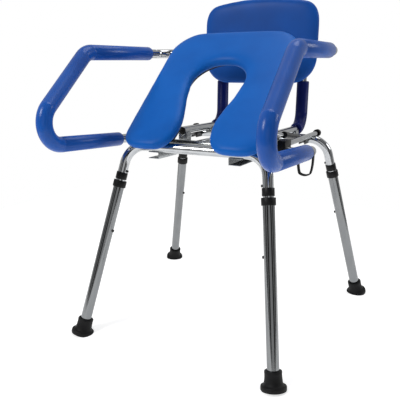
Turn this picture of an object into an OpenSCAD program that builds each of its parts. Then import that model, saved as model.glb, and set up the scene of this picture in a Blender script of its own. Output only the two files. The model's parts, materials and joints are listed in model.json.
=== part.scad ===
// Lift-assist shower chair: padded tilting seat with arm loops, padded back
// and four height-adjustable legs. Millimetres, +Z up, front towards -Y.
// The origin is on the floor, under the middle of the overall box.

/* [Legs] */
// Half the distance between the front feet
front_foot_x = 273.5; // [260:0.5:290]
// Half the distance between the rear feet
rear_foot_x = 345; // [330:0.5:360]
// Distance from the middle of the base to each row of feet
foot_y = 314.6; // [300:0.2:330]
// Backward rake of the front leg frame, degrees
front_rake = 14.2; // [12:0.1:16]
// Forward rake of the rear leg frame, degrees
rear_rake = 12.8; // [11:0.1:15]
// Inward lean of the front legs, degrees
front_lean = 8.9; // [7:0.1:11]
// Inward lean of the rear legs, degrees
rear_lean = 11.9; // [10:0.1:14]
// Height of the two cross tubes' centre line
cross_z = 506; // [490:1:520]
// Outer diameter of the frame tube
frame_od = 25.4; // [22:0.2:28]
// Outer diameter of the sliding leg tube
leg_od = 28.6; // [28.4:0.2:32]
// Length from the floor to the split between the collars, along the leg
split_l = 433; // [420:1:440]
// How far each leg can be pulled out
leg_travel = 75; // [25:25:75]

/* [Seat] */
// Tilt of the raised seat, degrees
seat_tilt = 42; // [30:1:44]
// Height of the seat hinge
hinge_z = 510; // [508:0.5:512]
// Distance of the seat hinge in front of the middle of the base
hinge_front = 104; // [100:1:108]
// Half width of the seat pad
pad_half_w = 195; // [185:1:200]
// Length of the seat pad
pad_length = 439; // [420:1:445]
// Thickness of the seat pad
pad_t = 32; // [28:1:36]
// Distance of the pad's lower face above the hinge, square to the seat
pad_v = 66; // [66:0.5:72]
// How far the pad reaches in front of the hinge, along the seat
pad_nose = 94; // [88:1:94]
// Radius of the keyhole's round rear end
keyhole_r = 76; // [65:1:85]

/* [Arms] */
// Distance of each arm loop from the centre plane
arm_x = 267; // [260:1:275]
// Height of the armrest above the hinge, square to the seat
arm_v = 270; // [240:1:285]
// Centre-line radius of the tube bends in the arm loops
arm_bend = 52; // [48:1:70]
// Outer diameter of the foam grips
foam_od = 38; // [34:0.5:40]

/* [Back] */
// Distance of each back post from the centre plane
post_x = 136; // [130:0.5:142]
// Distance of the back posts behind the middle of the base
post_y = 283; // [280:1:290]
// Outer diameter of the back frame tube
post_od = 22; // [20:0.5:25]
// Half width of the backrest
back_half_w = 182; // [170:1:190]
// Height of the backrest's lower edge
back_low = 667; // [660:1:700]
// Height of the backrest's upper edge
back_top = 915; // [905:1:930]
// Thickness of the backrest pad
back_t = 30; // [24:1:34]

/* [Hidden] */
$fn = 48;
wall = 1.6;                       // tube wall
fit = 0.05;                       // radial gap of a running fit
skin = 0.3;                       // gap between a sleeve and the tube it covers
swell = 0.12;                     // how much fuller a bend is than the straight tube
lap = 0.6;                        // how far a straight tube runs into its bend
eps = 0.5;                        // overshoot of a cutting solid

// The origin's shift, so that the overall box is centred on it
origin_y = 43.15;

// Frame tube and legs
frame_r = frame_od / 2;
leg_r = leg_od / 2;
leg_ri = frame_r + fit;
frame_bend = 58;
inner_low = 190;                  // where the frame tube ends inside the leg
collar_gap = 3.5;                 // bare tube between the two collars
upper_collar_h = 19;
upper_collar_r = 14.8;
lower_collar_h = 18;
lower_collar_r = 17.2;
button_l = split_l - 138;         // snap button, measured along the leg
button_r = 3.5;
button_out = 3.5;                 // how far a snap button stands proud
button_stroke = 3.5;
stud_l = split_l + 26;            // stop stud above the upper collar
slot_w = 9.4;
tip_r = 30;
tip_disc_t = 15;
tip_drop = 3;                     // depth of the tip's sole below the foot point
tip_h = 42;
tip_seat = 6;                     // floor of the tip's socket

front_y = -foot_y;
rear_y = foot_y;
front_cross_l = cross_z / (cos(front_rake) * cos(front_lean));
rear_cross_l = cross_z / (cos(rear_rake) * cos(rear_lean));
front_cross_y = front_y + front_cross_l * cos(front_lean) * sin(front_rake);
rear_cross_y = rear_y - rear_cross_l * cos(rear_lean) * sin(rear_rake);

// Side tubes lie on the cross tubes, channels hang under them
side_x = 204;
side_r = 7;
side_z = cross_z + frame_r + side_r - 3.7;
side_front = -hinge_front + 12;
side_rear = rear_cross_y + 34;
channel_x = 97;
channel_w = 31;
channel_h = 18;
channel_t = 2;
channel_sink = 0.7;               // how deep the channel is coped onto the tube
channel_top = cross_z - frame_r + channel_sink;
channel_front = front_cross_y - 6;
channel_rear = rear_cross_y + 12;
brace_t = 3;
brace_top = channel_top + brace_t;
front_brace_w = 48;
rear_brace_w = 30;

// Seat hinge
hinge_y = -hinge_front;
axle_r = 8;
axle_half = 262;
block_w = 20;
block_rear = hinge_y + 28;
block_high = side_z + 12;

// Arm loops, in seat coordinates: u along the seat, v square to it
arm_r = frame_r;
arm_nose_u = -275;
arm_rear_u = 41;
stub_u = 321;
stub_v = 36;
stub_bend = 45;
stub_end_x = 153;
arm_tail = 16;                    // arm tube beyond the axle
front_angle = atan2(arm_v, -arm_nose_u);
rear_angle = atan2(arm_v - stub_v, stub_u - arm_rear_u);
front_turn = 180 - front_angle;
rear_turn = rear_angle;
front_leg_l = norm([arm_nose_u, arm_v]);
rear_leg_l = norm([stub_u - arm_rear_u, arm_v - stub_v]);
front_tangent = arm_bend * tan(front_turn / 2);
rear_tangent = arm_bend * tan(rear_turn / 2);
foam_front_gap = 24;              // bare tube between the axle and the foam
foam_rear_l = 79.5;               // bare tube between the foam and the rear stub

// Seat structure
pan_t = 5;
plate_x = 157;
plate_t = 4;
crank_u = 16.5;
crank_v = 43;
pin_r = 4;
pan_v = pad_v - pan_t;
pad_rear = pad_length - pad_nose;

// Gas springs
spring_x = 178;
spring_r = 9;
rod_r = 4;
spring_base_y = 165;
spring_base_z = 508;
cylinder_l = 190;
eye_r = 11;
eye_w = 12;
eye_slack = 3;                    // clearance of the open pivot at the crank
crank_y = hinge_y + crank_u * cos(seat_tilt) - crank_v * sin(seat_tilt);
crank_z = hinge_z + crank_u * sin(seat_tilt) + crank_v * cos(seat_tilt);
spring_l = norm([crank_y - spring_base_y, crank_z - spring_base_z]);
spring_angle = atan2(crank_z - spring_base_z, spring_base_y - crank_y);

// Back frame
post_r = post_od / 2;
post_bend = 50;
back_leg_z = cross_z + frame_r + post_r;
back_leg_front = 2;
back_frame_top = back_top - 36;
back_dome_r = 760;                // radius of the backrest's domed upper edge
post_foam_rear = post_y - post_bend - 4;
back_front_y = post_y - post_r - skin - 5 - back_t;

LEGS = [
    ["front_right", 1, true], ["front_left", -1, true],
    ["rear_right", 1, false], ["rear_left", -1, false]
];
SIDES = [["right", 1], ["left", -1]];
LEG_PARTS = ["leg_tube", "lower_collar", "upper_collar", "foot_tip", "snap_button"];
SIDE_PARTS = [
    "side_tube", "channel", "bearing_block", "post_foam",
    "hinge_plate", "arm_tube", "arm_foam", "spring_cylinder", "spring_rod"
];

// ---------- helpers ----------

module place() { translate([0, origin_y, 0]) children(); }

module on_side(s) {
    if (s > 0) children();
    else mirror([1, 0, 0]) children();
}

module both_sides() {
    children();
    mirror([1, 0, 0]) children();
}

// Origin at the right-hand foot, Z up along the leg, -X towards the middle
module on_leg(is_front) {
    translate([is_front ? front_foot_x : rear_foot_x, is_front ? front_y : rear_y, 0])
        rotate([is_front ? -front_rake : rear_rake, 0, 0])
            rotate([0, is_front ? -front_lean : -rear_lean, 0])
                children();
}

// Origin on the hinge line, Y along the seat, Z square to it
module on_seat() {
    translate([0, hinge_y, hinge_z]) rotate([seat_tilt, 0, 0]) children();
}

module ring(h, ro, ri) {
    difference() {
        cylinder(h = h, r = ro);
        translate([0, 0, -eps]) cylinder(h = h + 2 * eps, r = ri);
    }
}

// Tube bend: starts at the origin along +Z and turns towards +X
module elbow(turn, bend, ro, ri) {
    translate([bend, 0, 0]) rotate([-90, 0, 0]) rotate([0, 0, 180])
        rotate_extrude(angle = turn)
            translate([bend, 0]) difference() {
                circle(r = ro + swell);
                circle(r = ri - swell);
            }
}

// Bent tube from a list of [length, turn, bend radius, roll]
module bent_tube(steps, ro, ri, i = 0) {
    s = steps[i];
    low = i == 0 ? 0 : lap;
    high = i == len(steps) - 1 ? 0 : lap;
    translate([0, 0, -low]) ring(s[0] + low + high, ro, ri);
    if (i < len(steps) - 1)
        translate([0, 0, s[0]]) rotate([0, 0, s[3]]) {
            elbow(s[1], s[2], ro, ri);
            translate([s[2] * (1 - cos(s[1])), 0, s[2] * sin(s[1])]) rotate([0, s[1], 0])
                bent_tube(steps, ro, ri, i + 1);
        }
}

// Cylinder along X, centred at x
module rod_x(x, w, r) { translate([x - w / 2, 0, 0]) rotate([0, 90, 0]) cylinder(h = w, r = r); }

// ---------- leg frames and legs ----------

module leg_frame(is_front) {
    lean = is_front ? front_lean : rear_lean;
    cross_l = is_front ? front_cross_l : rear_cross_l;
    foot_x = is_front ? front_foot_x : rear_foot_x;
    turn = 90 - lean;
    tangent = frame_bend * tan(turn / 2);
    straight = cross_l - tangent - inner_low;
    cross = 2 * (foot_x - cross_l * sin(lean) - tangent);
    place() difference() {
        on_leg(is_front) translate([0, 0, inner_low]) rotate([0, 0, 180])
            bent_tube([[straight, turn, frame_bend, 0], [cross, turn, frame_bend, 0], [straight]],
                frame_r, frame_r - wall);
        both_sides() on_leg(is_front) {
            slot_low = button_l - leg_travel - 6;
            translate([-frame_r, 0, (slot_low + button_l + 6) / 2])
                cube([2 * frame_r - 6, slot_w, button_l + 6 - slot_low], center = true);
        }
    }
}

module front_frame() { color("silver") leg_frame(true); }

module rear_frame() { color("silver") leg_frame(false); }

module leg_tube(s, is_front) {
    color("silver") place() on_side(s) on_leg(is_front) difference() {
        translate([0, 0, tip_seat]) ring(split_l - collar_gap / 2 - 2 - tip_seat, leg_r, leg_ri);
        translate([0, 0, button_l]) rod_x(-leg_r, 6, button_r + fit);
    }
}

module lower_collar(s, is_front) {
    low = split_l - collar_gap / 2 - lower_collar_h;
    color("black") place() on_side(s) on_leg(is_front) {
        difference() {
            translate([0, 0, low]) cylinder(h = lower_collar_h, r = lower_collar_r);
            translate([0, 0, low - eps]) cylinder(h = lower_collar_h - 2 + eps, r = leg_r + skin);
            translate([0, 0, low]) cylinder(h = lower_collar_h + eps, r = leg_ri + skin);
        }
    }
}

module upper_collar(s, is_front) {
    color("black") place() on_side(s) on_leg(is_front)
        translate([0, 0, split_l + collar_gap / 2]) ring(upper_collar_h, upper_collar_r, frame_r + skin);
}

module foot_tip(s, is_front) {
    color("black") place() on_side(s) difference() {
        on_leg(is_front) difference() {
            union() {
                translate([0, 0, -tip_drop]) cylinder(h = tip_disc_t - 3, r = tip_r);
                translate([0, 0, tip_disc_t - 3 - tip_drop]) cylinder(h = 3, r1 = tip_r, r2 = tip_r - 3);
                translate([0, 0, tip_disc_t - tip_drop]) cylinder(h = 8, r1 = 26, r2 = 20.5);
                cylinder(h = tip_h, r = 20.5);
            }
            translate([0, 0, tip_seat]) cylinder(h = tip_h, r = leg_r + skin);
        }
        translate([0, -500, -50]) cube([600, 1000, 50]);
    }
}

module snap_button(s, is_front) {
    inner = 9;
    head = leg_r + button_out - inner;
    color("black") place() on_side(s) on_leg(is_front) translate([0, 0, button_l]) {
        rod_x(-inner - head / 2, head, button_r);
        rod_x(-leg_ri + 1.6, 1.3, button_r + 0.8);
    }
}

module stop_studs() {
    color("black") place() for (s = [1, -1], is_front = [true, false])
        on_side(s) on_leg(is_front) difference() {
            translate([0, 0, stud_l]) rod_x(-(frame_r + 1), 5, 3.2);
            translate([0, 0, stud_l - 10]) cylinder(h = 20, r = frame_r + skin);
        }
}

// ---------- base ----------

module cross_cylinder(y, r) { translate([0, y, cross_z]) rod_x(0, 700, r); }

module side_tube(s) {
    color("silver") place() on_side(s) difference() {
        translate([side_x, side_front, side_z])
            rotate([-90, 0, 0]) ring(side_rear - side_front, side_r, side_r - wall);
        cross_cylinder(rear_cross_y, frame_r);
    }
}

module side_tube_plugs() {
    color("black") place() both_sides() translate([side_x, side_rear, side_z]) rotate([90, 0, 0]) {
        cylinder(h = 10, r = side_r - wall - skin);
        translate([0, 0, -2]) cylinder(h = 2, r = side_r);
    }
}

module channel(s) {
    color("silver") place() on_side(s) difference() {
        translate([channel_x, channel_front, channel_top - channel_h])
            cube([channel_w, channel_rear - channel_front, channel_h]);
        translate([channel_x + channel_t, channel_front - eps, channel_top - channel_h + channel_t])
            cube([channel_w, channel_rear - channel_front + 2 * eps, channel_h - 2 * channel_t]);
        cross_cylinder(front_cross_y, frame_r);
        cross_cylinder(rear_cross_y, frame_r);
    }
}

module brace(half, front, width) {
    color("silver") place() translate([-half, front, channel_top]) cube([2 * half, width, brace_t]);
}

module front_brace() { brace(side_x + block_w / 2, block_rear - front_brace_w, front_brace_w); }

module rear_brace() { brace(post_x + 14, back_leg_front, rear_brace_w); }

module bearing_block(s) {
    color("black") place() on_side(s) difference() {
        translate([side_x - block_w / 2, block_rear - front_brace_w, brace_top])
            cube([block_w, front_brace_w, block_high - brace_top]);
        translate([0, hinge_y, hinge_z]) rod_x(side_x, block_w + 2, axle_r + fit);
        translate([side_x, side_front, side_z]) rotate([-90, 0, 0]) cylinder(h = 100, r = side_r);
    }
}

module rest_pads() {
    color("black") place() both_sides() translate([side_x, rear_cross_y + 13.5, side_z])
        rotate([-90, 0, 0]) ring(17, 10.8, side_r + skin);
}

module spring_brackets() {
    color("black") place() both_sides() difference() {
        union() {
            for (x = [-1, 1]) translate([spring_x + x * (eye_w / 2 + 2) - 1.5, spring_base_y - 10, cross_z - 12])
                cube([3, rear_cross_y - spring_base_y + 10, 24]);
            translate([0, spring_base_y, spring_base_z]) rod_x(spring_x, eye_w + 10, pin_r);
        }
        cross_cylinder(rear_cross_y, frame_r);
    }
}

// ---------- back ----------

module back_frame() {
    rise = back_frame_top - back_leg_z;
    color("silver") place() {
        straight = post_y - back_leg_front - post_bend;
        translate([post_x, back_leg_front, back_leg_z]) rotate([-90, 0, 0]) rotate([0, 0, -90])
            bent_tube([[straight, 90, post_bend, 0],
                       [rise - 2 * post_bend, 90, post_bend, -90],
                       [2 * (post_x - post_bend), 90, post_bend, 0],
                       [rise - 2 * post_bend, 90, post_bend, 90],
                       [straight]], post_r, post_r - wall);
    }
}

module post_foam(s) {
    rise = back_low - 3 - back_leg_z - post_bend;
    color("midnightblue") place() on_side(s) translate([post_x, post_foam_rear, back_leg_z])
        rotate([-90, 0, 0]) rotate([0, 0, -90])
            bent_tube([[4, 90, post_bend, 0], [rise]], foam_od / 2 - 0.5, post_r + skin);
}

module back_leg_plugs() {
    color("black") place() both_sides() translate([post_x, back_leg_front, back_leg_z])
        rotate([-90, 0, 0]) {
            cylinder(h = 12, r = post_r - wall - skin);
            translate([0, 0, -3]) cylinder(h = 3, r = post_r);
        }
}

module back_clamps() {
    color("black") place() both_sides() difference() {
        translate([post_x - 14, rear_cross_y - 15, cross_z - 1]) cube([28, 29, frame_r + post_r + 1]);
        cross_cylinder(rear_cross_y, frame_r);
        translate([post_x, rear_cross_y - 40, back_leg_z]) rotate([-90, 0, 0]) cylinder(h = 80, r = post_r);
    }
}

module back_supports() {
    color("dimgray") place() both_sides() difference() {
        translate([post_x - 14, back_leg_front + 2, brace_top]) cube([28, 26, back_leg_z - 4 - brace_top]);
        translate([post_x, back_leg_front, back_leg_z]) rotate([-90, 0, 0]) cylinder(h = 60, r = post_r);
    }
}

// Outline of the backrest: straight sides, round corners and a slightly domed top
module back_outline(inset) {
    w = back_half_w - inset;
    low = back_low + inset;
    top = back_top - inset;
    intersection() {
        union() {
            translate([-w, low + 75]) square([2 * w, top - low - 145]);
            translate([-w + 60, low]) square([2 * w - 120, top - low]);
            for (s = [-1, 1]) {
                translate([s * (w - 70), top - 70]) circle(r = 70);
                translate([s * (w - 75), low + 75]) circle(r = 75);
            }
        }
        translate([0, top - back_dome_r]) circle(r = back_dome_r);
    }
}

module backrest_pad() {
    color("royalblue") place() translate([0, back_front_y + back_t, 0]) rotate([90, 0, 0])
        linear_extrude(back_t) back_outline(0);
}

module backrest_board() {
    color("black") place() difference() {
        translate([0, back_front_y + back_t + 5, 0]) rotate([90, 0, 0])
            linear_extrude(5) back_outline(14);
        backrest_bolt_holes();
    }
}

module backrest_bolt_holes() {
    for (s = [-1, 1], z = [back_low + 50, back_frame_top - 80])
        translate([s * post_x, post_y, z]) rotate([90, 0, 0]) cylinder(h = 40, r = 3.05);
}

module backrest_bolts() {
    color("silver") place() for (s = [-1, 1], z = [back_low + 50, back_frame_top - 80])
        translate([s * post_x, post_y + post_r, z]) rotate([90, 0, 0]) {
            difference() {
                translate([0, 0, -4]) cylinder(h = 6, r = 5.5);
                translate([0, -20, post_r]) rotate([-90, 0, 0]) cylinder(h = 40, r = post_r);
            }
            translate([0, 0, 2 * post_r + 0.1]) cylinder(h = 4.8, r = 3);
        }
}

// ---------- seat ----------

module keyhole(extra) {
    nose = -pad_nose;
    union() {
        translate([0, nose + 240]) circle(r = keyhole_r + extra);
        polygon([
            [-keyhole_r - extra, nose + 240], [-66 - extra, nose + 176], [-50 - extra, nose + 122],
            [-42 - extra, nose + 84], [-46 - extra, nose + 44], [-60 - extra, nose + 16],
            [-84 - extra, nose - 1], [84 + extra, nose - 1],
            [60 + extra, nose + 16], [46 + extra, nose + 44], [42 + extra, nose + 84],
            [50 + extra, nose + 122], [66 + extra, nose + 176], [keyhole_r + extra, nose + 240]
        ]);
    }
}

module seat_outline(inset, nose_cut) {
    w = pad_half_w - inset;
    front = -pad_nose + inset + nose_cut;
    rear = pad_rear - inset;
    difference() {
        union() {
            translate([-w, front + 48]) square([2 * w, rear - front - 138]);
            translate([-w + 90, rear - 100]) square([2 * w - 180, 100 - 4]);
            translate([-w + 48, front]) square([2 * w - 96, 60]);
            for (s = [-1, 1]) {
                translate([s * (w - 48), front + 48]) circle(r = 48);
                translate([s * (w - 90), rear - 94]) circle(r = 90);
            }
        }
        keyhole(inset);
    }
}

module seat_pad() {
    color("royalblue") place() on_seat() translate([0, 0, pad_v])
        linear_extrude(pad_t) seat_outline(0, 0);
}

module seat_pan() {
    color("black") place() on_seat() difference() {
        translate([0, 0, pan_v]) linear_extrude(pan_t) seat_outline(14, 30);
        pan_bolt_cuts(2.55);
    }
}

module pan_bolt_cuts(r) {
    for (s = [-1, 1], u = [20, 120, 220, 310])
        translate([s * (plate_x - 12), u, pan_v - 10]) cylinder(h = 20, r = r);
}

module pan_bolts() {
    color("silver") place() on_seat() for (s = [-1, 1], u = [20, 120, 220, 310])
        translate([s * (plate_x - 12), u, pan_v - plate_t - 3]) {
            cylinder(h = 3, r = 5);
            cylinder(h = plate_t + 3 + pan_t, r = 2.5);
        }
}

// Folded side plate: carries the axle, the crank pin and the arm's rear stub
module hinge_plate(s) {
    color("dimgray") place() on_side(s) on_seat() difference() {
        union() {
            translate([plate_x - plate_t / 2, 0, 0]) rotate([90, 0, 90]) linear_extrude(plate_t) {
                polygon([[-11, 4], [-12, pan_v], [stub_u + 8, pan_v], [stub_u + 18, stub_v],
                         [stub_u - 14, stub_v - 13], [240, 34], [60, 30], [11, -4]]);
                circle(r = 12);
                translate([stub_u, stub_v]) circle(r = 19);
            }
            translate([plate_x - 24, -12, pan_v - plate_t]) cube([24, stub_u + 20, plate_t]);
        }
        rod_x(plate_x, 3 * plate_t, axle_r);
        translate([0, stub_u, stub_v]) rod_x(plate_x, 3 * plate_t, arm_r);
        translate([0, crank_u, crank_v]) rod_x(plate_x, 3 * plate_t, pin_r);
        pan_bolt_cuts(2.5);
    }
}

module crank_pins() {
    color("silver") place() both_sides() on_seat() translate([0, crank_u, crank_v]) {
        rod_x((plate_x - plate_t / 2 + spring_x + eye_w / 2 + 3) / 2,
            spring_x + eye_w / 2 + 3 - plate_x + plate_t / 2, pin_r);
        rod_x(spring_x + eye_w / 2 + 3, 2, 9.5);
    }
}

module seat_axle() {
    color("silver") place() on_seat() rotate([0, 90, 0]) translate([0, 0, -axle_half])
        ring(2 * axle_half, axle_r, axle_r - 2);
}

module on_arm_start() {
    on_seat() translate([arm_x, 0, 0]) rotate([90 - front_angle, 0, 0]) rotate([0, 0, 90]) children();
}

module arm_tube(s) {
    color("silver") place() on_side(s) difference() {
        on_arm_start() translate([0, 0, -arm_tail])
            bent_tube([[arm_tail + front_leg_l - front_tangent, front_turn, arm_bend, 0],
                       [arm_rear_u - arm_nose_u - front_tangent - rear_tangent, rear_turn, arm_bend, 0],
                       [rear_leg_l - rear_tangent - stub_bend, 90, stub_bend, 90],
                       [arm_x - stub_bend - stub_end_x]], arm_r, arm_r - wall);
        on_seat() rod_x(axle_half - 7, 14, axle_r);
    }
}

module arm_foam(s) {
    color("mediumblue") place() on_side(s) on_arm_start() translate([0, 0, foam_front_gap])
        bent_tube([[front_leg_l - front_tangent - foam_front_gap, front_turn, arm_bend, 0],
                   [arm_rear_u - arm_nose_u - front_tangent - rear_tangent, rear_turn, arm_bend, 0],
                   [rear_leg_l - rear_tangent - foam_rear_l]], foam_od / 2, arm_r + skin);
}

module arm_plugs() {
    color("black") place() both_sides() {
        on_arm_start() translate([0, 0, -arm_tail]) {
            cylinder(h = 6, r = arm_r - wall - skin);
            translate([0, 0, -3]) cylinder(h = 3, r = arm_r);
        }
        on_seat() translate([stub_end_x, stub_u, stub_v]) rotate([0, 90, 0]) {
            cylinder(h = 12, r = arm_r - wall - skin);
            translate([0, 0, -2]) cylinder(h = 2, r = arm_r);
        }
    }
}

// Webbing loop that hangs from the right arm tube, between the foam and the axle
module seat_strap() {
    strap_w = 14;
    strap_t = 1.8;
    loop_r = 22;
    top_z = hinge_z + arm_r + 3.6;
    drop = 30;
    color("black") place() translate([arm_x - 3, hinge_y - 9, top_z - loop_r])
        rotate([90, 0, 0]) linear_extrude(strap_w) difference() {
            strap_loop(loop_r, drop);
            strap_loop(loop_r - strap_t, drop);
        }
}

module strap_loop(r, drop) {
    circle(r = r);
    translate([-r, -drop]) square([2 * r, drop]);
    translate([0, -drop]) circle(r = r);
}

// ---------- gas springs ----------

// Origin at the rear eye, +Z along the spring towards the crank
module on_spring() {
    translate([spring_x, spring_base_y, spring_base_z]) rotate([90 - spring_angle, 0, 0]) children();
}

module spring_cylinder(s) {
    color("black") place() on_side(s) on_spring() difference() {
        union() {
            rotate([0, 90, 0]) cylinder(h = eye_w, r = eye_r, center = true);
            cylinder(h = 22, r = 5);
            translate([0, 0, 20]) cylinder(h = cylinder_l - 20, r = spring_r);
        }
        rotate([0, 90, 0]) cylinder(h = 2 * eye_w, r = pin_r + fit, center = true);
        translate([0, 0, 30]) cylinder(h = cylinder_l, r = rod_r + fit);
    }
}

module spring_rod(s) {
    rod_low = spring_l - 190;
    color("silver") place() on_side(s) on_spring() difference() {
        union() {
            translate([0, 0, rod_low]) cylinder(h = spring_l - rod_low - 8, r = rod_r);
            translate([0, 0, spring_l - 20]) cylinder(h = 13, r = 5);
            translate([0, 0, spring_l]) rotate([0, 90, 0]) cylinder(h = eye_w, r = eye_r, center = true);
        }
        translate([0, 0, spring_l]) rotate([0, 90, 0])
            cylinder(h = 2 * eye_w, r = pin_r + eye_slack, center = true);
    }
}

// ---------- assembly ----------

front_frame();
rear_frame();
front_brace();
rear_brace();
stop_studs();
rest_pads();
side_tube_plugs();
spring_brackets();
back_frame();
back_clamps();
back_supports();
back_leg_plugs();
backrest_board();
backrest_bolts();
backrest_pad();
seat_pad();
seat_pan();
pan_bolts();
seat_axle();
crank_pins();
arm_plugs();
seat_strap();

for (leg = LEGS) {
    leg_tube(leg[1], leg[2]);
    lower_collar(leg[1], leg[2]);
    upper_collar(leg[1], leg[2]);
    foot_tip(leg[1], leg[2]);
    snap_button(leg[1], leg[2]);
}

for (side = SIDES) {
    side_tube(side[1]);
    channel(side[1]);
    bearing_block(side[1]);
    post_foam(side[1]);
    hinge_plate(side[1]);
    arm_tube(side[1]);
    arm_foam(side[1]);
    spring_cylinder(side[1]);
    spring_rod(side[1]);
}
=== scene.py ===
# %% [markdown]
# # A lift-assist shower chair
#
# The chair stands on four rubber-tipped legs. Its padded seat tilts up to help a
# person stand, and two foam-covered arm loops tilt with it. A padded backrest sits
# on a bent black tube behind the seat.
#
# The engineering model comes in first as a fixed frame. Everything made below rides
# on one of its bodies, in the same metres, so nothing has to be fitted by eye.

# %% Load the frame
import json
from math import atan2, hypot, pi, radians, tan

import bmesh
import bpy
from mathutils import Matrix, Vector


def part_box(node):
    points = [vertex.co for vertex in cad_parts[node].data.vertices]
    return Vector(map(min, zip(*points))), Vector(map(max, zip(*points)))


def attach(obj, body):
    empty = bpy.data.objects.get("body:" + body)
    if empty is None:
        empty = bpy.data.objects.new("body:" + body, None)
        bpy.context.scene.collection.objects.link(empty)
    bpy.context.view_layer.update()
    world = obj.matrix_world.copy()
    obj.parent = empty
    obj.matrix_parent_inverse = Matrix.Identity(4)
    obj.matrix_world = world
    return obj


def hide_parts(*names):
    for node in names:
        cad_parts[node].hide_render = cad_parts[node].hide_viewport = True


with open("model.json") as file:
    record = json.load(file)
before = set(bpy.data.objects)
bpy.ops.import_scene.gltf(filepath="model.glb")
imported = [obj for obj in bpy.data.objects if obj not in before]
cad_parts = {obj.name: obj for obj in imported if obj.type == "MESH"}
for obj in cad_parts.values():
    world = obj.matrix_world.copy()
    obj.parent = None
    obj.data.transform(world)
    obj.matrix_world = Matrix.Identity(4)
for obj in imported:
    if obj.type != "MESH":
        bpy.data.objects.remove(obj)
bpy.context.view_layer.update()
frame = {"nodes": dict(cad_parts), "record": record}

# %% [markdown]
# ## Sizes shared by several pieces
#
# A few lengths come back again and again: the hinge line, the seat's tilt and the
# tubes' radii. They are written once, in metres. The seat has its own directions:
# along the seat (u) and square to it (v).

# %% Shared sizes
MM = 0.001
origin_y = 43.15 * MM
hinge = Vector((0, -104 * MM + origin_y, 510 * MM))
seat_tilt = radians(42)
seat_place = Matrix.Translation(hinge) @ Matrix.Rotation(seat_tilt, 4, "X")
arm_x = 267 * MM
frame_tube_r = 12.7 * MM
post_tube_r = 11 * MM
cross_z = 506 * MM
back_low = 667 * MM
print("hinge at", tuple(round(c, 4) for c in hinge))

# %% [markdown]
# ## Camera, light and floor
#
# The camera stands a little above seat height, to the right of the chair's front, and
# looks slightly down. A 44 mm lens on a 36 mm wide sensor gives the same
# perspective as a normal photograph taken from about one and a half metres.

# %% Camera
camera_data = bpy.data.cameras.new("camera")
camera_data.lens = 44.1
camera_data.sensor_width = 36
camera = bpy.data.objects.new("camera", camera_data)
camera.matrix_world = (
    Matrix.Translation((0.5613, -1.2121, 0.6745))
    @ Matrix.Rotation(radians(26.903), 4, "Z")
    @ Matrix.Rotation(radians(90 - 13.789), 4, "X")
    @ Matrix.Rotation(radians(0.464), 4, "Z")
)
bpy.context.scene.collection.objects.link(camera)
bpy.context.scene.camera = camera
print("camera lens", camera_data.lens)

# %% [markdown]
# Chrome shows whatever stands round it. A plain white room would make it vanish. So the
# camera itself sees plain white, while everything else sees a studio that is pale behind
# the chair and dark in front of it, with two pale rings. The rings give each bright tube
# its dark and light stripes.

# %% World light
world = bpy.data.worlds.new("studio")
bpy.context.scene.world = world
world.use_nodes = True
world_nodes = world.node_tree.nodes
world_links = world.node_tree.links
world_nodes.clear()


def add_node(nodes, links, kind, settings=None, inputs=None):
    """Adds one shader node, sets its properties, and fills or links its sockets."""
    made = nodes.new(kind)
    for name, value in (settings or {}).items():
        setattr(made, name, value)
    for name, value in (inputs or {}).items():
        if isinstance(value, bpy.types.NodeSocket):
            links.new(value, made.inputs[name])
        else:
            made.inputs[name].default_value = value
    return made


def set_ramp(ramp, stops):
    """Puts (position, colour) stops on a colour ramp."""
    elements = ramp.color_ramp.elements
    while len(elements) > 1:
        elements.remove(elements[-1])
    elements[0].position, elements[0].color = stops[0]
    for position, colour in stops[1:]:
        elements.new(position).color = colour


sky_way = add_node(world_nodes, world_links, "ShaderNodeTexCoord")
towards_camera = Vector((0.42, -0.85, 0.1)).normalized()
facing = add_node(world_nodes, world_links, "ShaderNodeVectorMath", {"operation": "DOT_PRODUCT"},
                  {0: sky_way.outputs["Generated"], 1: tuple(towards_camera)})
sky_ramp = add_node(world_nodes, world_links, "ShaderNodeValToRGB", None,
                    {"Fac": facing.outputs["Value"]})
rings = [(0.0, 0.8), (0.16, 0.6), (0.3, 0.06), (0.46, 0.04), (0.56, 0.7), (0.66, 0.8), (0.74, 0.03),
         (0.9, 0.04), (0.95, 0.9), (1.0, 1.0)]
set_ramp(sky_ramp, [(position, (value, value, value, 1)) for position, value in rings])
sky = add_node(world_nodes, world_links, "ShaderNodeBackground", None,
               {"Color": sky_ramp.outputs["Color"], "Strength": 0.6})
plain_white = add_node(world_nodes, world_links, "ShaderNodeBackground", None,
                       {"Color": (1, 1, 1, 1), "Strength": 1.0})
ray = add_node(world_nodes, world_links, "ShaderNodeLightPath")
either = add_node(world_nodes, world_links, "ShaderNodeMixShader", None,
                  {0: ray.outputs["Is Camera Ray"], 1: sky.outputs["Background"],
                   2: plain_white.outputs["Background"]})
add_node(world_nodes, world_links, "ShaderNodeOutputWorld", None, {"Surface": either.outputs["Shader"]})
bpy.context.scene.view_settings.view_transform = "Standard"
print("world nodes:", len(world_nodes))

# %% Lamps


def soft_lamp(name, place, aim, size, power):
    """A square soft box that points at aim."""
    data = bpy.data.lights.new(name, "AREA")
    data.shape = "SQUARE"
    data.size = size
    data.energy = power
    lamp = bpy.data.objects.new(name, data)
    turn = (Vector(aim) - Vector(place)).to_track_quat("-Z", "Y")
    lamp.matrix_world = Matrix.Translation(place) @ turn.to_matrix().to_4x4()
    bpy.context.scene.collection.objects.link(lamp)


soft_lamp("key_lamp", (-1.2, -2.4, 2.2), (0, 0, 0.5), 1.0, 52)
soft_lamp("top_lamp", (0.3, 0.4, 3.0), (0, 0, 0.4), 1.6, 22)
soft_lamp("rim_lamp", (2.6, 1.2, 1.8), (0, 0, 0.5), 1.0, 20)
print("lamps ready")

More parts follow.
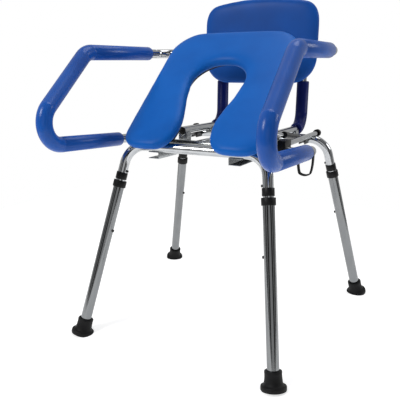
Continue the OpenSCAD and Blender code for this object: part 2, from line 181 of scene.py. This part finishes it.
# %% [markdown]
# ## Colours and the floor
#
# Colours are written the way a paint picker shows them, as sRGB hex. Blender mixes
# light in linear values, so one function turns the first into the second.

# %% Colour converter and material starter


def linear(hex_colour):
    """'#rrggbb' in sRGB to a linear (r, g, b, 1)."""
    parts = [int(hex_colour[i:i + 2], 16) / 255 for i in (1, 3, 5)]
    return tuple(c / 12.92 if c <= 0.04045 else ((c + 0.055) / 1.055) ** 2.4 for c in parts) + (1,)


def new_material(name, settings):
    """An empty material with a Principled shader; settings go on its own sockets."""
    material = bpy.data.materials.new(name)
    material.use_nodes = True
    nodes, links = material.node_tree.nodes, material.node_tree.links
    nodes.clear()
    shader = add_node(nodes, links, "ShaderNodeBsdfPrincipled", None, settings)
    add_node(nodes, links, "ShaderNodeOutputMaterial", None, {"Surface": shader.outputs["BSDF"]})
    place = add_node(nodes, links, "ShaderNodeTexCoord").outputs["Object"]
    return material, nodes, links, shader, place


def put_on(piece, material):
    piece.data.materials.clear()
    piece.data.materials.append(material)


floor_bm = bmesh.new()
bmesh.ops.create_grid(floor_bm, x_segments=1, y_segments=1, size=1.5)
floor_mesh = bpy.data.meshes.new("floor")
floor_bm.to_mesh(floor_mesh)
floor_bm.free()
floor = bpy.data.objects.new("floor", floor_mesh)
bpy.context.scene.collection.objects.link(floor)
floor_paper, *_ = new_material(
    "white_studio_paper", {"Base Color": linear("#d8d8d8"), "Roughness": 0.9,
                           "Emission Color": (1, 1, 1, 1), "Emission Strength": 0.62})
put_on(floor, floor_paper)
print("floor ready")

# %% [markdown]
# ## Finishes
#
# Each finish starts from the real thing. The pads are self-skinned polyurethane: the
# foam forms its own smooth skin against the mould, so it has a satin shine and a very
# fine leather-like grain. The backrest gets a darker copy of the seat's blue, as painted
# shade for the dimmer light on it. The grips are closed-cell foam tube, a little glossier.

# %% Blue self-skinned polyurethane


def skinned_foam(name, colour, shade, roughness, specular, grain_mm, grain_depth_mm):
    """Moulded foam with its own skin: soft colour clouds, fine grain, satin sheen."""
    material, nodes, links, shader, place = new_material(
        name, {"Roughness": roughness, "IOR": 1.5, "Specular IOR Level": specular})
    clouds = add_node(nodes, links, "ShaderNodeTexNoise", None,
                      {"Vector": place, "Scale": 9.0, "Detail": 3.0})
    tint = add_node(nodes, links, "ShaderNodeValToRGB", None, {"Fac": clouds.outputs["Fac"]})
    set_ramp(tint, [(0.3, linear(shade)), (0.7, linear(colour))])
    links.new(tint.outputs["Color"], shader.inputs["Base Color"])
    grain = add_node(nodes, links, "ShaderNodeTexVoronoi", {"feature": "SMOOTH_F1"},
                     {"Vector": place, "Scale": 1000 / grain_mm})
    bump = add_node(nodes, links, "ShaderNodeBump", None,
                    {"Height": grain.outputs["Distance"], "Strength": 0.35, "Distance": grain_depth_mm * MM})
    links.new(bump.outputs["Normal"], shader.inputs["Normal"])
    return material


seat_skin = skinned_foam("self_skinned_polyurethane_blue", "#0f62bb", "#0c58ad", 0.42, 0.13, 1.6, 0.12)
# The backrest's darker blue is painted shade: the seat's foam, darkened for the dimmer light on the
# backrest.
back_skin_painted_shade = skinned_foam("self_skinned_polyurethane_blue_painted_shade", "#1353aa", "#174a97", 0.42, 0.13, 1.6, 0.12)
grip_skin = skinned_foam("closed_cell_grip_foam_blue", "#1c58b0", "#174a9c", 0.25, 0.24, 1.1, 0.01)
# The post sleeves' very dark blue is painted shade: the grip foam, darkened for the shade behind the seat
# and under the backrest.
post_skin_painted_shade = skinned_foam("closed_cell_post_foam_blue_painted_shade", "#0e1d62", "#0a1650", 0.38, 0.13, 1.1, 0.015)
print("foam finishes ready")

# %% [markdown]
# Chrome plate is a mirror with hardly any roughness. The leg tubes are anodised
# aluminium: silver and a little softer, because they were drawn through a die. The
# drawing marks are too fine to see, so they are drawn as faint patches about 12 mm wide.

# %% Metals


def metal(name, colour, shade, rough_low, rough_high, streak_mm, stretch):
    """A bare or plated metal whose roughness varies in soft marks or streaks."""
    material, nodes, links, shader, place = new_material(name, {"Metallic": 1.0})
    lay = add_node(nodes, links, "ShaderNodeMapping", None, {"Vector": place, "Scale": stretch})
    marks = add_node(nodes, links, "ShaderNodeTexNoise", None,
                     {"Vector": lay.outputs["Vector"], "Scale": 1000 / streak_mm, "Detail": 4.0})
    rough = add_node(nodes, links, "ShaderNodeMapRange", None,
                     {"Value": marks.outputs["Fac"], "From Min": 0.3, "From Max": 0.7,
                      "To Min": rough_low, "To Max": rough_high})
    links.new(rough.outputs["Result"], shader.inputs["Roughness"])
    tint = add_node(nodes, links, "ShaderNodeValToRGB", None, {"Fac": marks.outputs["Fac"]})
    set_ramp(tint, [(0.35, linear(shade)), (0.65, linear(colour))])
    links.new(tint.outputs["Color"], shader.inputs["Base Color"])
    return material


chrome = metal("chrome_plated_steel", "#bfc1c3", "#b3b6b9", 0.05, 0.11, 25, (1, 1, 1))
anodised = metal("anodised_aluminium_tube", "#898b8c", "#828486", 0.11, 0.15, 12, (1, 1, 0.1))
zinc = metal("zinc_plated_steel", "#b9bbb8", "#a2a5a3", 0.28, 0.42, 4, (1, 1, 1))
bracket_steel = metal("polished_bracket_steel", "#b0b3b5", "#a6a9ab", 0.22, 0.28, 6, (1, 0.1, 1))
print("metal finishes ready")

# %% [markdown]
# The black parts are of three kinds: powder-coated steel with a faint orange-peel,
# moulded nylon with a fine spark-eroded texture, and dull rubber.

# %% Black finishes


def black_finish(name, colour, shade, roughness, grain_mm, depth_mm, specular):
    """Moulded plastic, rubber or powder coat: nearly black, with a fine bump."""
    material, nodes, links, shader, place = new_material(
        name, {"IOR": 1.5, "Specular IOR Level": specular})
    grain = add_node(nodes, links, "ShaderNodeTexNoise", None,
                     {"Vector": place, "Scale": 1000 / grain_mm, "Detail": 3.0})
    tint = add_node(nodes, links, "ShaderNodeValToRGB", None, {"Fac": grain.outputs["Fac"]})
    set_ramp(tint, [(0.3, linear(shade)), (0.75, linear(colour))])
    links.new(tint.outputs["Color"], shader.inputs["Base Color"])
    rough = add_node(nodes, links, "ShaderNodeMapRange", None,
                     {"Value": grain.outputs["Fac"], "To Min": roughness - 0.08, "To Max": roughness + 0.08})
    links.new(rough.outputs["Result"], shader.inputs["Roughness"])
    bump = add_node(nodes, links, "ShaderNodeBump", None,
                    {"Height": grain.outputs["Fac"], "Strength": 0.4, "Distance": depth_mm * MM})
    links.new(bump.outputs["Normal"], shader.inputs["Normal"])
    return material


powder_black = black_finish("black_powder_coated_steel", "#15161a", "#0b0c0f", 0.38, 2.5, 0.05, 0.5)
nylon_black = black_finish("black_moulded_nylon", "#0c0c0d", "#060607", 0.46, 1.2, 0.08, 0.25)
rubber_black = black_finish("black_moulded_rubber", "#0e0e0f", "#070708", 0.58, 1.8, 0.15, 0.22)
print("black finishes ready")

# %% [markdown]
# Webbing is woven from thick flat yarns, so it shows small ribs across its width and a
# finer beat along its length. Both are drawn as bands on the strap's own directions.

# %% Woven webbing
webbing, nodes, links, shader, place = new_material(
    "black_polypropylene_webbing", {"Roughness": 0.78, "Sheen Weight": 0.04, "Sheen Roughness": 0.5,
                                    "Specular IOR Level": 0.2})
ribs = add_node(nodes, links, "ShaderNodeTexWave", {"bands_direction": "Y"},
                {"Vector": place, "Scale": 110.0})
beat = add_node(nodes, links, "ShaderNodeTexWave", {"bands_direction": "Z"},
                {"Vector": place, "Scale": 150.0})
weave = add_node(nodes, links, "ShaderNodeMath", {"operation": "MULTIPLY"},
                 {0: ribs.outputs["Fac"], 1: beat.outputs["Fac"]})
yarn = add_node(nodes, links, "ShaderNodeValToRGB", None, {"Fac": weave.outputs["Value"]})
set_ramp(yarn, [(0.1, linear("#050505")), (0.8, linear("#111112"))])
links.new(yarn.outputs["Color"], shader.inputs["Base Color"])
weave_bump = add_node(nodes, links, "ShaderNodeBump", None,
                      {"Height": weave.outputs["Value"], "Strength": 0.6, "Distance": 0.3 * MM})
links.new(weave_bump.outputs["Normal"], shader.inputs["Normal"])
print("webbing ready")

# %% [markdown]
# ## From a bmesh to a piece of the chair
#
# A bmesh is Blender's workbench for shapes. When a shape is done it becomes a mesh,
# the mesh becomes an object at the origin, and the object rides on a body.

# %% Finish a piece


def finish_piece(bm, name, material, body, stands_for=(), sharp_degrees=40):
    """Writes the bmesh to an object, shades it smooth up to an angle, and lets it ride."""
    mesh = bpy.data.meshes.new(name)
    bm.to_mesh(mesh)
    bm.free()
    mesh.shade_smooth()
    mesh.set_sharp_from_angle(angle=radians(sharp_degrees))
    piece = bpy.data.objects.new(name, mesh)
    bpy.context.scene.collection.objects.link(piece)
    put_on(piece, material)
    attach(piece, body)
    if stands_for:
        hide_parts(*stands_for)
    return piece


def body_of_node(node):
    """The name of the body that holds this node."""
    for body, names in frame["record"]["behaviour"]["bodies"].items():
        if node in names:
            return body
    raise KeyError(node)


# %% [markdown]
# ## The seat and the backrest
#
# Both pads are one moulded piece of soft foam with generous round edges. They could be
# carved with many bevels. It is simpler to take the plain slab of the right size,
# rebuild its surface with small even faces, and let those faces relax: the edges round
# off by themselves, evenly, as they do in a mould. Relaxing draws the sides in, so they
# are first pushed out by a few millimetres.

# %% Relaxed pads
side_push = 6 * MM


def moulded_pad(node, name, voxel_mm, relax_steps, crown_mm, up):
    """A soft copy of a slab: remeshed evenly, relaxed, and slightly crowned along up."""
    source = frame["nodes"][node]
    bm = bmesh.new()
    bm.from_mesh(source.data)
    bmesh.ops.remove_doubles(bm, verts=bm.verts, dist=0.01 * MM)
    slab = bpy.data.meshes.new(name + "_slab")
    bm.to_mesh(slab)
    bm.free()
    helper = bpy.data.objects.new(name + "_slab", slab)
    bpy.context.scene.collection.objects.link(helper)
    remesh = helper.modifiers.new("even_faces", "REMESH")
    remesh.mode = "VOXEL"
    remesh.voxel_size = voxel_mm * MM
    evaluated = helper.evaluated_get(bpy.context.evaluated_depsgraph_get())
    bm = bmesh.new()
    bm.from_mesh(evaluated.to_mesh())
    evaluated.to_mesh_clear()
    bpy.data.objects.remove(helper)
    bpy.data.meshes.remove(slab)
    low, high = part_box(node)
    centre = (Vector(low) + Vector(high)) / 2
    half = max(high[0] - centre.x, 1e-6)
    bm.normal_update()
    for vert in bm.verts:
        vert.co += (vert.normal - up * vert.normal.dot(up)) * side_push
    for _ in range(relax_steps):
        bmesh.ops.smooth_vert(bm, verts=bm.verts, factor=0.5, use_axis_x=True, use_axis_y=True,
                              use_axis_z=True)
    bm.normal_update()
    for vert in bm.verts:
        facing = vert.normal.dot(up)
        if facing > 0.3:
            across = (vert.co.x - centre.x) / half
            vert.co += up * crown_mm * MM * facing * max(0.0, 1 - across * across)
    return bm


seat_up = seat_place.to_3x3() @ Vector((0, 0, 1))
seat_bm = moulded_pad("seat_pad", "seat_cushion", 4.0, 110, 2.5, seat_up)
print("seat cushion faces:", len(seat_bm.faces))
seat_cushion = finish_piece(seat_bm, "seat_cushion", seat_skin, "seat", ("seat_pad",), 180)

back_bm = moulded_pad("backrest_pad", "backrest_cushion", 4.0, 70, 3.0, Vector((0, -1, 0)))
print("backrest cushion faces:", len(back_bm.faces))
backrest_cushion = finish_piece(back_bm, "backrest_cushion", back_skin_painted_shade, "base", ("backrest_pad",), 180)

# %% [markdown]
# ## Foam grips
#
# A grip is a thick foam tube pulled over the bent steel. Its cross-section is a ring,
# so a ring of faces is pushed along the straights and spun round the bends, which
# makes the outer skin and the bore together. The cut ends are rounded over.

# %% Push and spin a ring


def ring_section(bm, at, outer, inner):
    """A flat ring of faces, square to at's Z axis."""
    around = []
    for radius in (outer, inner):
        circle = bmesh.ops.create_circle(bm, cap_ends=False, segments=44, radius=radius, matrix=at)
        around += {edge for vert in circle["verts"] for edge in vert.link_edges}
    return bmesh.ops.bridge_loops(bm, edges=around)["faces"]


def push(bm, section, at, length):
    """Extrudes the ring straight on; returns the new end and its place."""
    grown = bmesh.ops.extrude_face_region(bm, geom=section)["geom"]
    verts = [g for g in grown if isinstance(g, bmesh.types.BMVert)]
    bmesh.ops.translate(bm, verts=verts, vec=at.to_3x3() @ Vector((0, 0, length)))
    return [g for g in grown if isinstance(g, bmesh.types.BMFace)], at @ Matrix.Translation((0, 0, length))


def bend(bm, section, at, turn, radius):
    """Spins the ring round a bend that turns towards at's X axis."""
    steps = max(6, round(turn / radians(6)))
    spun = bmesh.ops.spin(bm, geom=section, cent=at @ Vector((radius, 0, 0)),
                          axis=at.to_3x3() @ Vector((0, 1, 0)), angle=turn, steps=steps)["geom_last"]
    turned = (at @ Matrix.Translation((radius, 0, 0)) @ Matrix.Rotation(turn, 4, "Y")
              @ Matrix.Translation((-radius, 0, 0)))
    return [g for g in spun if isinstance(g, bmesh.types.BMFace)], turned


def foam_sleeve(start, path, outer, inner, lip):
    """A foam tube along [(length, turn, bend radius), ...] with rounded ends."""
    bm = bmesh.new()
    section, at = ring_section(bm, start, outer, inner), start
    for length, turn, radius in path:
        section, at = push(bm, section, at, length)
        if turn:
            section, at = bend(bm, section, at, turn, radius)
    bmesh.ops.remove_doubles(bm, verts=bm.verts, dist=0.001 * MM)
    bmesh.ops.recalc_face_normals(bm, faces=bm.faces)
    rims = []
    for place in (start, at):
        centre = place.to_translation()
        for edge in bm.edges:
            middle = (edge.verts[0].co + edge.verts[1].co) / 2 - centre
            if abs(middle.length - outer) < 0.3 * MM and edge.calc_face_angle(0) > radians(60):
                rims.append(edge)
    bmesh.ops.bevel(bm, geom=rims, affect="EDGES", offset=lip, segments=5, profile=0.5, material=-1)
    return bm


print("sleeve helpers ready")

# %% [markdown]
# The arm loop leaves the hinge forwards, turns back over itself at the front corner,
# runs along the armrest and drops to the rear of the seat. Its corners are given in the
# seat's own directions, and each bend starts one tangent length before its corner.

# %% Arm grips
nose_u, rear_u, stub_u = -275 * MM, 41 * MM, 321 * MM
arm_v, stub_v = 270 * MM, 36 * MM
arm_bend = 52 * MM
front_angle = atan2(arm_v, -nose_u)
front_turn = pi - front_angle
rear_turn = atan2(arm_v - stub_v, stub_u - rear_u)
front_tangent = arm_bend * tan(front_turn / 2)
rear_tangent = arm_bend * tan(rear_turn / 2)
foam_gap, foam_tail = 24 * MM, 79.5 * MM
arm_start = (seat_place @ Matrix.Translation((arm_x, 0, 0)) @ Matrix.Rotation(pi / 2 - front_angle, 4, "X")
             @ Matrix.Rotation(pi / 2, 4, "Z") @ Matrix.Translation((0, 0, foam_gap)))
arm_path = [
    (hypot(nose_u, arm_v) - front_tangent - foam_gap, front_turn, arm_bend),
    (rear_u - nose_u - front_tangent - rear_tangent, rear_turn, arm_bend),
    (hypot(stub_u - rear_u, arm_v - stub_v) - rear_tangent - foam_tail, 0, 0),
]
for side, sign in (("right", 1), ("left", -1)):
    grip_bm = foam_sleeve(arm_start, arm_path, 19 * MM, 12.95 * MM, 5 * MM)
    if sign < 0:
        bmesh.ops.scale(grip_bm, verts=grip_bm.verts, vec=(-1, 1, 1))
        bmesh.ops.recalc_face_normals(grip_bm, faces=grip_bm.faces)
    print("arm grip", side, "faces:", len(grip_bm.faces))
    grip = finish_piece(grip_bm, "arm_grip_" + side, grip_skin, "seat", ("arm_foam_" + side,), 180)

# %% [markdown]
# Each post sleeve starts just before the bend at the bottom of its post and runs up until
# it tucks in behind the backrest's rounded lower edge.

# %% Post sleeves
post_x, post_y, post_bend = 136 * MM, 283 * MM, 50 * MM
post_level = cross_z + frame_tube_r + post_tube_r
sleeve_lead, sleeve_tuck = 4 * MM, 6 * MM
post_start = (Matrix.Translation((post_x, post_y - post_bend - sleeve_lead + origin_y, post_level))
              @ Matrix.Rotation(-pi / 2, 4, "X") @ Matrix.Rotation(-pi / 2, 4, "Z"))
post_path = [(sleeve_lead, pi / 2, post_bend), (back_low + sleeve_tuck - post_level - post_bend, 0, 0)]
for side, sign in (("right", 1), ("left", -1)):
    sleeve_bm = foam_sleeve(post_start, post_path, 18.5 * MM, 11.3 * MM, 4 * MM)
    if sign < 0:
        bmesh.ops.scale(sleeve_bm, verts=sleeve_bm.verts, vec=(-1, 1, 1))
        bmesh.ops.recalc_face_normals(sleeve_bm, faces=sleeve_bm.faces)
    print("post sleeve", side, "faces:", len(sleeve_bm.faces))
    sleeve = finish_piece(sleeve_bm, "post_sleeve_" + side, post_skin_painted_shade, "base", ("post_foam_" + side,), 180)

# %% [markdown]
# ## Rubber feet
#
# A walking-aid foot is one rubber moulding: a wide sole with a raised rim, a waist, and
# a sleeve with a bead at its mouth. Anything round is quickest as half an outline spun
# round its axis. The leg leans, so the spun foot is tilted and its sole is cut flat by
# the floor.

# %% Feet
foot_outline = [(0, -3), (27, -3), (29.2, -2), (30, 0), (30, 6.5), (29.2, 9), (27.6, 9.8), (26, 9.2),
                (24.6, 9.6), (22.8, 12.5), (21.4, 17), (20.4, 24), (20.1, 35), (20.5, 36.5),
                (20.5, 40.5), (19.6, 42), (15.2, 42), (14.6, 41), (14.6, 6), (0, 6)]
# side of the chair, foot x and y in millimetres, rake and lean in degrees
legs = {"front_right": (1, 273.5, -314.6, -14.2, -8.9), "front_left": (-1, 273.5, -314.6, -14.2, -8.9),
        "rear_right": (1, 345.0, 314.6, 12.8, -11.9), "rear_left": (-1, 345.0, 314.6, 12.8, -11.9)}


def leg_place(foot_x, foot_y, rake, lean):
    """Origin at the right-hand foot, Z up along the leg."""
    return (Matrix.Translation((foot_x * MM, foot_y * MM + origin_y, 0))
            @ Matrix.Rotation(radians(rake), 4, "X") @ Matrix.Rotation(radians(lean), 4, "Y"))


for name, (sign, foot_x, foot_y, rake, lean) in legs.items():
    foot_bm = bmesh.new()
    verts = [foot_bm.verts.new((r * MM, 0, z * MM)) for r, z in foot_outline]
    edges = [foot_bm.edges.new(pair) for pair in zip(verts, verts[1:])]
    bmesh.ops.spin(foot_bm, geom=verts + edges, cent=(0, 0, 0), axis=(0, 0, 1), angle=2 * pi, steps=48,
                   use_merge=True)
    bmesh.ops.remove_doubles(foot_bm, verts=foot_bm.verts, dist=0.01 * MM)
    bmesh.ops.transform(foot_bm, matrix=leg_place(foot_x, foot_y, rake, lean), verts=foot_bm.verts)
    everything = foot_bm.verts[:] + foot_bm.edges[:] + foot_bm.faces[:]
    cut = bmesh.ops.bisect_plane(foot_bm, geom=everything, plane_co=(0, 0, 0), plane_no=(0, 0, 1),
                                 clear_inner=True)
    rim = [g for g in cut["geom_cut"] if isinstance(g, bmesh.types.BMEdge)]
    bmesh.ops.holes_fill(foot_bm, edges=rim, sides=0)
    if sign < 0:
        bmesh.ops.scale(foot_bm, verts=foot_bm.verts, vec=(-1, 1, 1))
    bmesh.ops.recalc_face_normals(foot_bm, faces=foot_bm.faces)
    print("foot", name, "faces:", len(foot_bm.faces))
    finish_piece(foot_bm, "rubber_foot_" + name, rubber_black, "leg_" + name, ("foot_tip_" + name,), 50)

# %% [markdown]
# ## The hanging strap
#
# A short loop of black webbing hangs over the right arm's bare tube. It is a band:
# a circle pulled long, extruded to the webbing's width and given its thickness.

# %% Strap
strap_bm = bmesh.new()
strap_x, strap_r, strap_width = 264 * MM, 19 * MM, 13 * MM
strap_drop, strap_ease = 33 * MM, 14 * MM
strap_middle = hinge.z + frame_tube_r + 2.9 * MM - strap_r
band = Matrix.Translation((strap_x, hinge.y - 9.5 * MM, strap_middle)) @ Matrix.Rotation(pi / 2, 4, "X")
loop = bmesh.ops.create_circle(strap_bm, cap_ends=False, segments=48, radius=strap_r, matrix=band)
for vert in loop["verts"]:
    drop = strap_middle - vert.co.z
    if drop > 0:
        share = min(1.0, drop / strap_ease)
        vert.co.z -= strap_drop * share
        vert.co.x = strap_x + (vert.co.x - strap_x) * (1 + 0.12 * share)
wide = bmesh.ops.extrude_edge_only(strap_bm, edges=strap_bm.edges[:])["geom"]
bmesh.ops.translate(strap_bm, verts=[g for g in wide if isinstance(g, bmesh.types.BMVert)],
                    vec=(0, -strap_width, 0))
bmesh.ops.recalc_face_normals(strap_bm, faces=strap_bm.faces)
bmesh.ops.solidify(strap_bm, geom=strap_bm.faces[:], thickness=3.0 * MM)
bmesh.ops.recalc_face_normals(strap_bm, faces=strap_bm.faces)
print("strap faces:", len(strap_bm.faces))
finish_piece(strap_bm, "webbing_strap", webbing, "seat", ("seat_strap",), 50)

# %% [markdown]
# ## Hard parts with eased edges
#
# No real part has a knife edge, and a small rounded edge is what catches the light. Each
# small hard part is a copy of its engineering solid: its loose triangles are merged, the
# flat ones are joined into whole faces, and every sharp edge gets a small bevel.

# %% Ease the edges


def eased(node, material, radius_mm, segments=2):
    """A copy of a CAD node with its sharp edges rounded."""
    bm = bmesh.new()
    bm.from_mesh(frame["nodes"][node].data)
    bmesh.ops.remove_doubles(bm, verts=bm.verts, dist=0.005 * MM)
    bmesh.ops.dissolve_limit(bm, angle_limit=radians(1), verts=bm.verts, edges=bm.edges)
    sharp = [e for e in bm.edges if e.is_manifold and e.calc_face_angle(0) > radians(40)]
    bmesh.ops.bevel(bm, geom=sharp, affect="EDGES", offset=radius_mm * MM, segments=segments, profile=0.5,
                    material=-1, clamp_overlap=True)
    bmesh.ops.triangulate(bm, faces=[f for f in bm.faces if len(f.verts) > 4])
    return finish_piece(bm, node + "_eased", material, body_of_node(node), (node,), 35)


corners = ["front_right", "front_left", "rear_right", "rear_left"]
sides = ["right", "left"]
eased_parts = [(f"{kind}_{corner}", nylon_black, 0.9)
               for kind in ("upper_collar", "lower_collar") for corner in corners]
eased_parts += [(f"bearing_block_{side}", nylon_black, 1.5) for side in sides]
eased_parts += [(f"channel_{side}", bracket_steel, 0.5) for side in sides]
eased_parts += [(f"hinge_plate_{side}", bracket_steel, 0.6) for side in sides]
eased_parts += [("front_brace", bracket_steel, 0.6), ("rear_brace", bracket_steel, 0.6),
                ("back_clamps", bracket_steel, 1.0), ("back_supports", bracket_steel, 1.0),
                ("spring_brackets", powder_black, 0.5), ("seat_pan", nylon_black, 1.2),
                ("backrest_board", nylon_black, 1.2), ("back_leg_plugs", nylon_black, 0.8),
                ("side_tube_plugs", bracket_steel, 0.6), ("arm_plugs", nylon_black, 0.8),
                ("rest_pads", rubber_black, 1.0)]
for node, material, radius_mm in eased_parts:
    piece = eased(node, material, radius_mm)
    print(piece.name, "faces:", len(piece.data.polygons))

# %% [markdown]
# ## Finishes on the engineering parts that stay
#
# The long tubes, rods and pins already have their true shape, so they only get their
# real finish.

# %% Finishes for the kept parts
finish_of = {
    "front_frame": chrome, "rear_frame": chrome, "back_frame": chrome, "seat_axle": zinc,
    "crank_pins": zinc, "pan_bolts": zinc, "backrest_bolts": zinc, "stop_studs": nylon_black,
}
finish_of |= {f"leg_tube_{corner}": anodised for corner in corners}
finish_of |= {f"snap_button_{corner}": nylon_black for corner in corners}
finish_of |= {f"side_tube_{side}": chrome for side in sides}
finish_of |= {f"arm_tube_{side}": chrome for side in sides}
finish_of |= {f"spring_cylinder_{side}": powder_black for side in sides}
finish_of |= {f"spring_rod_{side}": chrome for side in sides}
for node, material in finish_of.items():
    put_on(frame["nodes"][node], material)
print("kept parts with a finish:", len(finish_of))
